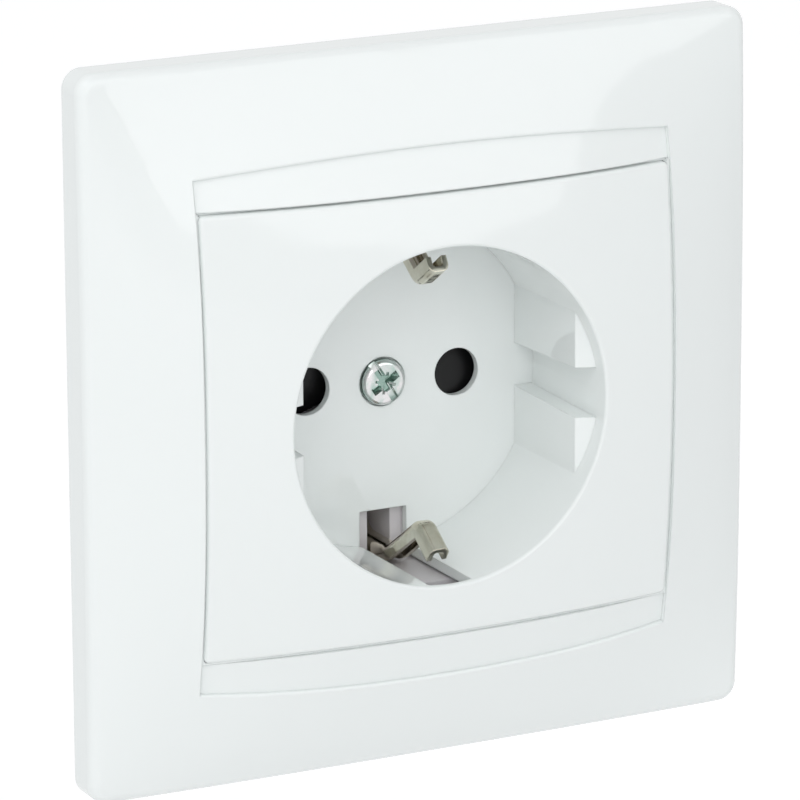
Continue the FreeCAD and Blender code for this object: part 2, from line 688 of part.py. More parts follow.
def round_folds(strip, half, points, reach, radius):
    """Round the two long corners of a strip on the side of its path, at half its width from the middle."""
    edges = [edge for edge in strip.Edges if abs(abs(edge.BoundBox.XMin) - half) < 1e-6
             and edge.BoundBox.XLength < 1e-6 and edge.Length > 0.3 and on_path(edge, points, reach)]
    return strip.makeFillet(radius, edges)


def on_path(edge, points, reach):
    """True for an edge of a strip that lies within reach of its path."""
    spot = middle(edge)
    for (u, v), (s, w) in zip(points, points[1:]):
        line = Part.LineSegment(Vector(0, u, v), Vector(0, s, w)).toShape()
        if line.distToShape(Part.Vertex(0, spot.y, spot.z))[0] < reach:
            return True
    return False


def make_contacts():
    """Line and neutral contacts: brass folded round the pin, with a tail to the side terminal."""
    wall, half = size("contact_wall"), size("pin_spacing") / 2
    front, rear = size("contact_front"), size("contact_rear")
    gap, mouth, waist = size("contact_gap") / 2, size("contact_mouth"), size("contact_waist")
    throat = (gap - size("contact_pinch"), front + size("contact_throat_run"))
    leaf = [(mouth, front), throat, (waist, rear - size("contact_waist_run")), (waist, rear)]
    path = leaf + [(-z, y) for z, y in reversed(leaf)]
    bends = [4.0, 3.0, 1.0, 1.0, 3.0, 4.0]
    width = size("contact_width")
    start = half - width / 2
    cradle = bent_strip(path, bends, 0, -wall, lambda z, y: Vector(start, y, z), Vector(width, 0, 0))
    plate = size("tail_plate_offset") + wall
    tail_end = size("terminal_depth") - size("contact_tail_run")
    tail_path = [(half, rear + wall), (plate, rear + wall), (plate, tail_end)]
    width = size("contact_tail_width")
    tail = bent_strip(tail_path, [1.6], 0, -wall, lambda x, y: Vector(x, y, -width / 2), Vector(0, 0, width))
    hole = Part.makeCylinder(size("terminal_screw_radius") + size("thread_play"), 4,
                             Vector(plate - 2, size("terminal_depth"), 0), Vector(1, 0, 0))
    line = cradle.fuse(tail).cut(hole).removeSplitter()
    NODES["contact_line"] = solid("contact_line", line)
    NODES["contact_neutral"] = solid("contact_neutral", line.mirror(Vector(0, 0, 0), Vector(1, 0, 0)))


# Screw terminals

TERMINALS = {
    "line": (Rotation(Vector(0, 0, 1), 90), "tail_plate_offset + contact_wall", "0", (1, 0)),
    "neutral": (Rotation(Vector(0, 0, 1), -90), "-tail_plate_offset - contact_wall", "0", (-1, 0)),
    "earth": (Rotation(Vector(1, 0, 0), 90), "tail_inner + tail_width / 2", "-tail_offset", (0, -1)),
}


def make_terminals():
    """Clamp plate and screw of each terminal, pressed on the tail of its contact from outside."""
    for name, (turn, x, z, (across, down)) in TERMINALS.items():
        clamp = Piece(f"terminal_clamp_{name}")
        clamp.pad("plate", [rectangle("clamp_width", "clamp_length")], "clamp_wall", "clamp_wall")
        clamp.dress("Fillet", "corners", upright, "clamp_wall / 2")
        clamp.pocket("hole", [circle("terminal_screw_radius + screw_play")], "clamp_wall + 1",
                     "clamp_wall + 2")
        clamp.place(x, "-terminal_depth", z, turn)
        NODES[f"terminal_clamp_{name}"] = clamp.body
        screw = make_screw(f"terminal_screw_{name}", "terminal_head_radius", "terminal_head_height",
                           "terminal_screw_radius", "terminal_screw_length")
        screw.place(f"{x} + ({across}) * clamp_wall", "-terminal_depth", f"{z} + ({down}) * clamp_wall", turn)
        NODES[f"terminal_screw_{name}"] = screw.body


# Insert: base, rear cover and support ring

def make_base_housing():
    """Moulded base with the well's bore, cells for contacts and terminals, and a tongue behind each clip."""
    base = Piece("base_housing")
    base.pad("block", [circle("base_radius")], "0", "base_depth")
    trim(base, "outline", "base_width", "base_height")
    base.pocket("bore", [circle("well_outside + base_bore_play")], "1", "deck_depth + 1")
    inner = "(well_outside + tongue_gap)"
    tongues = [rectangle("tongue_width", "tongue_wall", "0", f"{side} * ({inner} + tongue_wall / 2)")
               for side in ("1", "-1")]
    base.pad("tongues", tongues, "tongue_front", "tongue_front + tongue_root")
    strap_floor = "(strap_depth + strap_wall - deck_depth + 1)"
    base.pocket("strap_groove", [rectangle("strap_width + 2 * strap_play", f"2 * {inner}")],
                "1 - deck_depth", strap_floor)
    clip_wells = [rectangle("strap_width + 2 * strap_play", f"{inner} - earth_slot_inner + 2", "0",
                            f"{side} * ({inner} + earth_slot_inner - 2) / 2") for side in ("1", "-1")]
    base.pocket("clip_wells", clip_wells, "-deck_depth", "strap_depth + clip_fold + strap_play - deck_depth")
    beside = "(clip_width / 2 + strap_play)"
    outside = "(strap_width / 2 + strap_play + cheek_wall)"
    cheeks = [rectangle(f"{outside} - {beside}", f"{inner} - earth_slot_inner",
                        f"{along} * ({outside} + {beside}) / 2", f"{side} * ({inner} + earth_slot_inner) / 2")
              for along in ("1", "-1") for side in ("1", "-1")]
    cheek_front = "(floor_front - floor_wall - cheek_play)"
    base.pad("cheeks", cheeks, cheek_front, f"strap_depth + clip_fold + strap_play + {cheek_front}")
    tail_span = "(tail_offset - link_top + 2 * strap_play)"
    tail_middle = "tail_inner + tail_width / 2"
    tail_groove = rectangle("tail_width + 2 * strap_play", tail_span, tail_middle,
                            f"-link_top + strap_play - {tail_span} / 2")
    base.pocket("tail_groove", [tail_groove], "1 - deck_depth", strap_floor)
    link_groove = rectangle("tail_inner + 1", "link_width + 2 * strap_play", "(tail_inner + 1) / 2",
                            "-link_top - link_width / 2")
    base.pocket("link_groove", [link_groove], "1 - deck_depth", strap_floor)
    tail_slot = rectangle("tail_width + 2 * strap_play", "strap_wall + 2 * strap_play + 1", tail_middle,
                          "-tail_offset + strap_wall / 2 + 0.5")
    base.pocket("tail_slot", [tail_slot], "-strap_depth", "deck_wall + 2")
    base.pocket("spring_pocket", [circle("spring_pocket_radius")], "1 - deck_depth",
                "strap_depth - deck_depth + 1")
    base.pocket("spring_slot", [rectangle("spring_foot + 0.6", "1", "-spring_radius - spring_foot / 2")],
                "1 - deck_depth", "strap_depth - deck_depth + 1")
    base.pocket("nut_pocket", [rectangle("nut_width + 2 * strap_play", "nut_width + 2 * strap_play")],
                "-strap_depth", "strap_wall + nut_height")
    base.pocket("screw_hole", [circle("cover_screw_radius + screw_play")], "-strap_depth",
                "counterbore_depth - floor_front + cover_screw_length + screw_tip_room - strap_depth")
    pins = [circle("pin_passage_radius", f"{side} * pin_spacing / 2") for side in ("1", "-1")]
    base.pocket("pin_passages", pins, "1 - deck_depth", "deck_wall + 1.1")
    cells = [rectangle("contact_cell_width", "contact_cell_height", f"{side} * (pin_spacing / 2 + 0.2)")
             for side in ("1", "-1")]
    base.pocket("contact_cells", cells, "-deck_depth - deck_wall", "base_depth")
    tails = [rectangle("tail_channel_length", "contact_tail_width + 2 * strap_play",
                       f"{side} * (tail_plate_offset + contact_wall - tail_channel_length / 2 + strap_play)")
             for side in ("1", "-1")]
    base.pocket("tail_channels", tails, "-contact_rear", "base_depth")
    cell_inner = "(tail_plate_offset - bend_relief)"
    side_cells = [rectangle("side_cell_length", "side_cell_height",
                            f"{side} * ({cell_inner} + side_cell_length / 2)") for side in ("1", "-1")]
    base.pocket("side_cells", side_cells, "-terminal_depth + clamp_width / 2 + 1", "base_depth")
    earth_cell = rectangle("clamp_width + 1", "side_cell_length", tail_middle,
                           "-tail_offset + strap_wall + strap_play - side_cell_length / 2")
    base.pocket("earth_cell", [earth_cell], "-terminal_depth + clamp_width / 2 + 1", "base_depth")
    for name, side in (("line_screw_hole", ""), ("neutral_screw_hole", "-")):
        base.pocket(name, [circle("terminal_screw_radius + screw_play", "terminal_depth")],
                    f"{side}({cell_inner} - 2.6)", "5.6", "YZ_Plane", True)
    earth_hole = circle("terminal_screw_radius + screw_play", tail_middle, "terminal_depth")
    base.pocket("earth_screw_hole", [earth_hole], "-tail_offset + 3.4", "5.6", "XY_Plane", True)
    ring_holes = [circle("ring_screw_radius + thread_play", x, z) for x, z in ring_screw_spots()]
    base.pocket("ring_screw_holes", ring_holes, "1", "ring_screw_length + 1")
    rear_holes = [circle("ring_screw_radius + thread_play", "0", f"{side} * rear_screw_offset")
                  for side in ("1", "-1")]
    base.pocket("rear_screw_holes", rear_holes, "ring_screw_length - base_depth", "ring_screw_length + 1")
    NODES["base_housing"] = base.body


def ring_screw_spots():
    """Bound centres of the four screws that hold the ring on the base."""
    reach = "ring_screw_circle * cos(45)"
    return [(f"{x}{reach}", f"{z}{reach}") for x in ("", "-") for z in ("", "-")]


def make_rear_cover():
    """Rear cover that closes the contact cells, with the wire holes."""
    cover = Piece("rear_cover")
    cover.pad("plate", [circle("base_radius")], "-base_depth", "rear_cover_wall")
    trim(cover, "outline", "base_width", "base_height")
    beside = "(terminal_screw_radius + wire_hole_radius)"
    wires = [(f"{side}(tail_plate_offset + contact_wall + clamp_wall / 2)", f"{rise}{beside}")
             for side in ("", "-") for rise in ("", "-")]
    wires += [(f"tail_inner + tail_width / 2 {side} {beside}", "-tail_offset - clamp_wall / 2")
              for side in ("+", "-")]
    cover.pocket("wire_holes", [circle("wire_hole_radius", x, z) for x, z in wires], "1 - base_depth", "5")
    holes = [circle("ring_screw_radius + screw_play", "0", f"{side} * rear_screw_offset")
             for side in ("1", "-1")]
    cover.pocket("screw_holes", holes, "1 - base_depth", "5")
    NODES["rear_cover"] = cover.body


def make_support_ring():
    """Stamped and zinc-plated ring that lies on the wall, with slots for the box screws."""
    ring = Piece("support_ring")
    ring.pad("plate", [rectangle("ring_side", "ring_side")], "ring_wall", "ring_wall")
    ring.dress("Fillet", "corners", upright, "ring_corner_radius")
    ring.pocket("bore", [circle("ring_bore_radius")], "ring_wall + 1", "ring_wall + 2")
    for name, x, z in (("right_slot", "1", "0"), ("left_slot", "-1", "0"), ("upper_slot", "0", "1"),
                       ("lower_slot", "0", "-1")):
        place = (f"{x} * box_screw_spacing / 2", f"{z} * box_screw_spacing / 2")
        run = "(box_slot_length - box_slot_width)"
        ends = [(f"{place[0]} + {side} * {x} * {run} / 2", f"{place[1]} + {side} * {z} * {run} / 2")
                for side in ("1", "-1")]
        along, wide = (run, "box_slot_width") if z == "0" else ("box_slot_width", run)
        ring.pocket(name, [rectangle(along, wide, *place)], "ring_wall + 1", "ring_wall + 2")
        for index, (u, w) in enumerate(ends):
            ring.pocket(f"{name}_end_{index}", [circle("box_slot_width / 2", u, w)], "ring_wall + 1",
                        "ring_wall + 2")
    holes = [circle("ring_screw_radius + screw_play", x, z) for x, z in ring_screw_spots()]
    ring.pocket("screw_holes", holes, "ring_wall + 1", "ring_wall + 2")
    NODES["support_ring"] = ring.body


def make_screw_group(label, spots, front, turn):
    """Like screws as one group of separate solids."""
    screws = []
    for index, (x, z) in enumerate(spots):
        screw = make_screw(f"{label}_{index}", "ring_screw_head_radius", "ring_screw_head_height",
                           "ring_screw_radius", "ring_screw_length")
        screw.place(x, front, z, turn)
        screws.append(screw.body)
    group = doc.addObject("Part::Compound", label)
    group.Label = label
    group.Links = screws
    NODES[label] = group


make_frame()
make_centre_cover()
make_cover_screw()
make_cover_nut()
make_shutter()
make_shutter_spring()
make_earth_strap()
make_contacts()
make_terminals()
make_base_housing()
make_rear_cover()
make_support_ring()
make_screw_group("ring_screws", ring_screw_spots(), "ring_wall", Rotation())
make_screw_group("rear_cover_screws", [("0", "rear_screw_offset"), ("0", "-rear_screw_offset")],
                 "-base_depth - rear_cover_wall", Rotation(Vector(0, 0, 1), 180))
doc.recompute()

for item in doc.Objects:
    if "Invalid" in item.State or "Error" in item.State:
        raise RuntimeError(f"{item.Label} did not recompute: {item.State}")

os.makedirs("parts", exist_ok=True)
for node, item in NODES.items():
    if item.Shape.isNull() or not item.Shape.isValid() or not item.Shape.Solids:
        raise RuntimeError(f"{node} has no valid solid")
    item.Shape.exportStep(f"parts/{node}.step")
    print(f"{node}: {len(item.Shape.Solids)} solid(s), {item.Shape.Volume:.1f} mm3")
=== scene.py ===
"""Type F wall socket: finishes, screws with threads, and a plain studio, dressed on the CAD frame.

Metres, +Z up, the wall plane at Y = 0 and the front facing -Y, with the plug well's axis on the Y axis.
"""

import json
import logging
import math
from dataclasses import dataclass, field
from enum import Enum
from typing import Any, Callable

import bmesh
import bpy
import numpy
from mathutils import Matrix, Vector

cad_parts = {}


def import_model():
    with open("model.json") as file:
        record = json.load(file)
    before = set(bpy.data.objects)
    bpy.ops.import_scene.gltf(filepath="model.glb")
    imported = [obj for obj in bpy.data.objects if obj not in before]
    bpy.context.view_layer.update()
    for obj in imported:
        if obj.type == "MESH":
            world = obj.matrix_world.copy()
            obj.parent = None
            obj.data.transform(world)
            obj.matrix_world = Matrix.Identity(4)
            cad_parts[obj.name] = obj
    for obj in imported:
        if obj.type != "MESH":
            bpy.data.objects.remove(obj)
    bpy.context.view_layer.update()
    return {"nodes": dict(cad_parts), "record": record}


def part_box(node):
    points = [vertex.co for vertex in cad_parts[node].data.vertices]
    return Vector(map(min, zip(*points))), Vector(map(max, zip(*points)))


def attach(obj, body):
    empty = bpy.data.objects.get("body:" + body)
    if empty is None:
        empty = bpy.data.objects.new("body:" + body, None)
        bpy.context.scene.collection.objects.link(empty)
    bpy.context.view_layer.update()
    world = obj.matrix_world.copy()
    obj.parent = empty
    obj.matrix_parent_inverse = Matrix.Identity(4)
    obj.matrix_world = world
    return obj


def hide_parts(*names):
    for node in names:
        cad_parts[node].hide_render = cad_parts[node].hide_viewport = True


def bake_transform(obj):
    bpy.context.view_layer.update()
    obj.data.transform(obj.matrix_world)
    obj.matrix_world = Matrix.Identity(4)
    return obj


MM = 0.001
BODY = "socket"
SHARP_EDGE_DEGREES = 35.0
LOG = logging.getLogger("socket")


def linear(hex_colour: str) -> tuple[float, float, float, float]:
    """Turn an sRGB hex colour into linear values.

    Args:
        hex_colour: six hex digits, such as "E9EDEC".

    Returns:
        Linear red, green and blue, and an alpha of 1.
    """
    channels = [int(hex_colour[i:i + 2], 16) / 255 for i in (0, 2, 4)]
    red, green, blue = [c / 12.92 if c <= 0.04045 else ((c + 0.055) / 1.055) ** 2.4 for c in channels]
    return (red, green, blue, 1.0)


def add_node(tree: bpy.types.NodeTree, kind: str, settings: dict[str, Any] | None = None,
             inputs: dict[Any, Any] | None = None) -> bpy.types.Node:
    """Add one node with its settings, its values and its links.

    Args:
        tree: the tree that gets the node.
        kind: the node's type name.
        settings: attributes of the node.
        inputs: socket name or number to a value, or to the output socket that feeds it.

    Returns:
        The new node.
    """
    node = tree.nodes.new(kind)
    for name, value in (settings or {}).items():
        setattr(node, name, value)
    for key, value in (inputs or {}).items():
        if isinstance(value, bpy.types.NodeSocket):
            tree.links.new(value, node.inputs[key])
        else:
            node.inputs[key].default_value = value
    return node


def waves_per_metre(millimetres: float) -> float:
    """Scale of a noise whose features are this far apart."""
    return 1.0 / (millimetres * MM)


@dataclass(frozen=True)
class Moulding:
    """Injection-moulded thermoplastic.

    A gloss mould leaves long shallow waves of shrinkage that bend reflections, and a spark-eroded mould
    leaves a fine even grain. Its outer edges have the small radius of the mould.
    """

    name: str
    colour: str
    roughness: float
    ior: float
    relief_mm: float
    relief_depth_mm: float
    edge_mm: float = 0.12
    roughness_spread: float = 0.03
    cloud_mm: float = 9.0

    def material(self) -> bpy.types.Material:
        """Build the material.

        Returns:
            The new material.
        """
        material = bpy.data.materials.new(self.name)
        material.use_nodes = True
        tree = material.node_tree
        shader = tree.nodes["Principled BSDF"]
        shader.inputs["Base Color"].default_value = linear(self.colour)
        shader.inputs["IOR"].default_value = self.ior
        place = add_node(tree, "ShaderNodeTexCoord").outputs["Object"]
        relief = add_node(tree, "ShaderNodeTexNoise", inputs={
            "Vector": place, "Scale": waves_per_metre(self.relief_mm), "Detail": 2.0, "Roughness": 0.45})
        cloud = add_node(tree, "ShaderNodeTexNoise", inputs={
            "Vector": place, "Scale": waves_per_metre(self.cloud_mm), "Detail": 3.0})
        gloss = add_node(tree, "ShaderNodeMapRange", inputs={
            "Value": cloud.outputs["Fac"], "From Min": 0.3, "From Max": 0.7,
            "To Min": self.roughness - self.roughness_spread,
            "To Max": self.roughness + self.roughness_spread})
        edge = add_node(tree, "ShaderNodeBevel", {"samples": 4}, {"Radius": self.edge_mm * MM})
        bump = add_node(tree, "ShaderNodeBump", inputs={
            "Height": relief.outputs["Fac"], "Distance": self.relief_depth_mm * MM, "Strength": 1.0,
            "Normal": edge.outputs["Normal"]})
        tree.links.new(gloss.outputs["Result"], shader.inputs["Roughness"])
        tree.links.new(bump.outputs["Normal"], shader.inputs["Normal"])
        return material


@dataclass(frozen=True)
class PlatedMetal:
    """Rolled, drawn or headed metal under a thin plating.

    Rolling leaves fine lines along the strip, stamping leaves slow dents that bend what it mirrors, and the
    plating clouds a little between two tints.
    """

    name: str
    colour: str
    tint: str
    roughness: float
    cloud_mm: float
    line_mm: float
    line_depth_mm: float
    stretch: tuple[float, float, float] = (1.0, 1.0, 1.0)
    edge_mm: float = 0.05
    # Colour of painted shade, laid where the point attribute recess is set; none if empty
    painted_shade: str = ""
    dent_mm: float = 3.0
    dent_depth_mm: float = 0.0
    tint_range: tuple[float, float] = (0.38, 0.58)
    gloss_range: tuple[float, float] = (0.8, 1.25)

    def material(self) -> bpy.types.Material:
        """Build the material.

        Returns:
            The new material.
        """
        material = bpy.data.materials.new(self.name)
        material.use_nodes = True
        tree = material.node_tree
        shader = tree.nodes["Principled BSDF"]
        shader.inputs["Metallic"].default_value = 1.0
        place = add_node(tree, "ShaderNodeTexCoord").outputs["Object"]
        cloud = add_node(tree, "ShaderNodeTexNoise", inputs={
            "Vector": place, "Scale": waves_per_metre(self.cloud_mm), "Detail": 3.0, "Distortion": 0.6})
        tint = add_node(tree, "ShaderNodeValToRGB", inputs={"Fac": cloud.outputs["Fac"]})
        shades = (self.tint, self.colour)
        for stop, position, shade_hex in zip(tint.color_ramp.elements, self.tint_range, shades):
            stop.position, stop.color = position, linear(shade_hex)
        drawn = add_node(tree, "ShaderNodeMapping", inputs={"Vector": place, "Scale": self.stretch})
        lines = add_node(tree, "ShaderNodeTexNoise", inputs={
            "Vector": drawn.outputs["Vector"], "Scale": waves_per_metre(self.line_mm), "Detail": 4.0,
            "Roughness": 0.6})
        gloss = add_node(tree, "ShaderNodeMapRange", inputs={
            "Value": lines.outputs["Fac"], "From Min": 0.3, "From Max": 0.7,
            "To Min": self.roughness * self.gloss_range[0], "To Max": self.roughness * self.gloss_range[1]})
        edge = add_node(tree, "ShaderNodeBevel", {"samples": 4}, {"Radius": self.edge_mm * MM})
        dents = add_node(tree, "ShaderNodeTexNoise", inputs={
            "Vector": place, "Scale": waves_per_metre(self.dent_mm), "Detail": 1.0})
        dented = add_node(tree, "ShaderNodeBump", inputs={
            "Height": dents.outputs["Fac"], "Distance": self.dent_depth_mm * MM,
            "Normal": edge.outputs["Normal"]})
        bump = add_node(tree, "ShaderNodeBump", inputs={
            "Height": lines.outputs["Fac"], "Distance": self.line_depth_mm * MM,
            "Normal": dented.outputs["Normal"]})
        base = tint.outputs["Color"]
        # Painted shade: the base colour turns towards the shade colour by the recess attribute
        if self.painted_shade:
            recess = add_node(tree, "ShaderNodeAttribute", {"attribute_name": "recess"})
            base = add_node(tree, "ShaderNodeMix", {"data_type": "RGBA"}, {
                0: recess.outputs["Fac"], 6: base, 7: linear(self.painted_shade)}).outputs[2]
        tree.links.new(base, shader.inputs["Base Color"])
        tree.links.new(gloss.outputs["Result"], shader.inputs["Roughness"])
        tree.links.new(bump.outputs["Normal"], shader.inputs["Normal"])
        return material


class Finish(Enum):
    """The finishes of the socket, each named by its slot in the record."""

    # UV-stable white thermoplastic from a polished mould: clear reflections with slightly wavy edges
    WHITE = Moulding("gloss_moulded_white_thermoplastic", "F2F6F5", 0.05, 1.53, 14.0, 0.012, edge_mm=0.25,
                     roughness_spread=0.015)
    # Glass-filled polyamide from a spark-eroded mould: flat mauve-grey with a fine grain
    # Its colour is painted light: lighter than the real part's grey, so that it stays bright in the shade of
    # the channels
    GREY = Moulding("eroded_moulded_grey_polyamide", "D8D4D7", 0.5, 1.53, 0.22, 0.004, edge_mm=0.15)
    # Unfilled black polyamide from an etched mould: satin, almost no relief, and a skin that mirrors less
    # than the bulk's index of 1.53 would, hence 1.33
    BLACK = Moulding("satin_moulded_black_polyamide", "141415", 0.34, 1.33, 0.6, 0.002, edge_mm=0.1)
    # Spring strip under bright nickel: warm grey, lines along the strip
    STRAP = PlatedMetal("nickel_plated_spring_strip", "DCD8CA", "C6C0AE", 0.1, 4.0, 0.12, 0.0006,
                        (4.0, 0.6, 0.6), edge_mm=0.16, dent_mm=2.6, dent_depth_mm=0.16)
    # Cold-headed steel under blue-passivated zinc: faint green and violet sheen, with painted shade in dark
    # green in the cross recess and partly down the side of the head
    SCREW = PlatedMetal("blue_zinc_plated_headed_steel", "DEDBDC", "B4C4BE", 0.15, 2.2, 0.25, 0.001,
                        painted_shade="8FA79E")
    # Stamped sheet steel under zinc: duller, with a fine even cloud
    SHEET = PlatedMetal("zinc_plated_stamped_steel", "BABEC2", "AFB4B8", 0.36, 5.0, 0.35, 0.003)
    # Spring brass as rolled
    BRASS = PlatedMetal("rolled_spring_brass", "D3AC62", "BE9550", 0.28, 3.0, 0.15, 0.002, (1.0, 0.4, 3.0))
    # Patented spring wire, oiled
    WIRE = PlatedMetal("drawn_spring_wire", "9A9B9D", "85868A", 0.3, 0.8, 0.1, 0.001)


SLOTS = {
    "white_moulding": Finish.WHITE, "grey_moulding": Finish.GREY, "black_moulding": Finish.BLACK,
    "nickel_plated_strap": Finish.STRAP, "zinc_plated_screw": Finish.SCREW, "zinc_plated_steel": Finish.SHEET,
    "contact_brass": Finish.BRASS, "spring_steel": Finish.WIRE,
}


@dataclass
class Finishes:
    """Builds each finish once and hands it out by its slot."""

    made: dict[Finish, bpy.types.Material] = field(default_factory=dict)

    def get(self, finish: Finish) -> bpy.types.Material:
        """Hand out a finish's material, built at its first use.

        Args:
            finish: the finish.

        Returns:
            Its material.
        """
        if finish not in self.made:
            self.made[finish] = finish.value.material()
        return self.made[finish]

    def dress(self, node: bpy.types.Object, slot: str) -> None:
        """Give a CAD node the finish of its slot.

        Args:
            node: the node's object, whose mesh stays as it is.
            slot: the record's material slot.
        """
        for holder in node.material_slots:
            holder.material = self.get(SLOTS[slot])


def new_piece(name: str, build: Callable[[bmesh.types.BMesh], None]) -> bpy.types.Object:
    """Make a mesh object at the origin.

    Args:
        name: the piece's name.
        build: fills an empty bmesh with the piece in its place.

    Returns:
        The new object, linked to the scene.
    """
    shape = bmesh.new()
    build(shape)
    bmesh.ops.remove_doubles(shape, verts=shape.verts, dist=1e-7)
    bmesh.ops.recalc_face_normals(shape, faces=shape.faces)
    mesh = bpy.data.meshes.new(name)
    shape.to_mesh(mesh)
    shape.free()
    piece = bpy.data.objects.new(name, mesh)
    bpy.context.scene.collection.objects.link(piece)
    return piece


def lathe(shape: bmesh.types.BMesh, profile: list[tuple[float, float]], steps: int = 96) -> None:
    """Turn a profile about the Z axis into a closed solid.

    Args:
        shape: the bmesh that gets the faces.
        profile: (radius, height) points in metres from the axis at one end to the axis at the other.
        steps: facets round the axis.
    """
    rings = []
    for radius, height in profile:
        if radius < 1e-9:
            rings.append([shape.verts.new((0, 0, height))])
        else:
            turns = [2 * math.pi * i / steps for i in range(steps)]
            rings.append([shape.verts.new((radius * math.cos(a), radius * math.sin(a), height))
                          for a in turns])
    for low, high in zip(rings, rings[1:]):
        for i in range(steps):
            j = (i + 1) % steps
            corners = [low[i % len(low)], low[j % len(low)], high[j % len(high)], high[i % len(high)]]
            shape.faces.new(dict.fromkeys(corners))


def arc(centre: tuple[float, float], radius: float, start: float, end: float,
        steps: int) -> list[tuple[float, float]]:
    """Points along an arc, with its angles in degrees."""
    turns = [math.radians(start + (end - start) * i / steps) for i in range(steps + 1)]
    return [(centre[0] + radius * math.cos(a), centre[1] + radius * math.sin(a)) for a in turns]


def apply_modifiers(piece: bpy.types.Object) -> None:
    """Replace a piece's mesh by the result of its modifiers, and remove them.

    Args:
        piece: the piece, with its modifiers set.
    """
    graph = bpy.context.evaluated_depsgraph_get()
    mesh = bpy.data.meshes.new_from_object(piece.evaluated_get(graph))
    piece.modifiers.clear()
    piece.data = mesh


def carve(piece: bpy.types.Object, tools: list[bpy.types.Object]) -> None:
    """Cut tools out of a piece, and delete them.

    Args:
        piece: the piece that is cut.
        tools: closed meshes in the piece's own place.
    """
    for tool in tools:
        cut = piece.modifiers.new("cut", "BOOLEAN")
        cut.operation, cut.solver, cut.object = "DIFFERENCE", "EXACT", tool
    apply_modifiers(piece)
    for tool in tools:
        bpy.data.objects.remove(tool)


def round_edges(piece: bpy.types.Object, width: float, segments: int = 2) -> None:
    """Bevel a piece's sharp edges, and shade it smooth between those that stay sharp.

    Args:
        piece: the piece, with its final shape.
        width: the bevel's width in metres.
        segments: rows of faces across the bevel.
    """
    bevel = piece.modifiers.new("bevel", "BEVEL")
    bevel.width, bevel.segments, bevel.limit_method = width, segments, "ANGLE"
    bevel.angle_limit = math.radians(SHARP_EDGE_DEGREES)
    bevel.use_clamp_overlap = True
    apply_modifiers(piece)
    shade(piece)


def shade(piece: bpy.types.Object) -> None:
    """Shade a piece smooth but for its sharp edges."""
    piece.data.polygons.foreach_set("use_smooth", [True] * len(piece.data.polygons))
    piece.data.set_sharp_from_angle(angle=math.radians(SHARP_EDGE_DEGREES))


def cutting_bar(length: float, width: float, depth: float, taper: float, turn: float,
                above: float) -> bpy.types.Object:
    """A bar that cuts a slot or a recess arm down from height 0, narrower and shorter at its bottom.

    Args:
        length: its length at height 0.
        width: its width at height 0.
        depth: how deep it reaches.
        taper: the share of its length and width left at the bottom.
        turn: its turn about the axis in degrees.
        above: how far it stands above height 0.

    Returns:
        The bar's object.
    """
    def build(shape: bmesh.types.BMesh) -> None:
        """Join a rectangle above height 0 to a smaller one at the bottom.

        Args:
            shape: the bmesh that gets the bar.
        """
        spin = Matrix.Rotation(math.radians(turn), 3, "Z")
        rings = []
        for height, share in ((above, 1 + (1 - taper) * above / depth), (-depth, taper)):
            x, y = length / 2 * share, width / 2 * share
            corners = [(x, y), (-x, y), (-x, -y), (x, -y)]
            rings.append([shape.verts.new(spin @ Vector((u, v, height))) for u, v in corners])
        shape.faces.new(rings[0])
        shape.faces.new(rings[1][::-1])
        for i in range(4):
            j = (i + 1) % 4
            shape.faces.new([rings[0][i], rings[1][i], rings[1][j], rings[0][j]])
    return new_piece("cutting_bar", build)


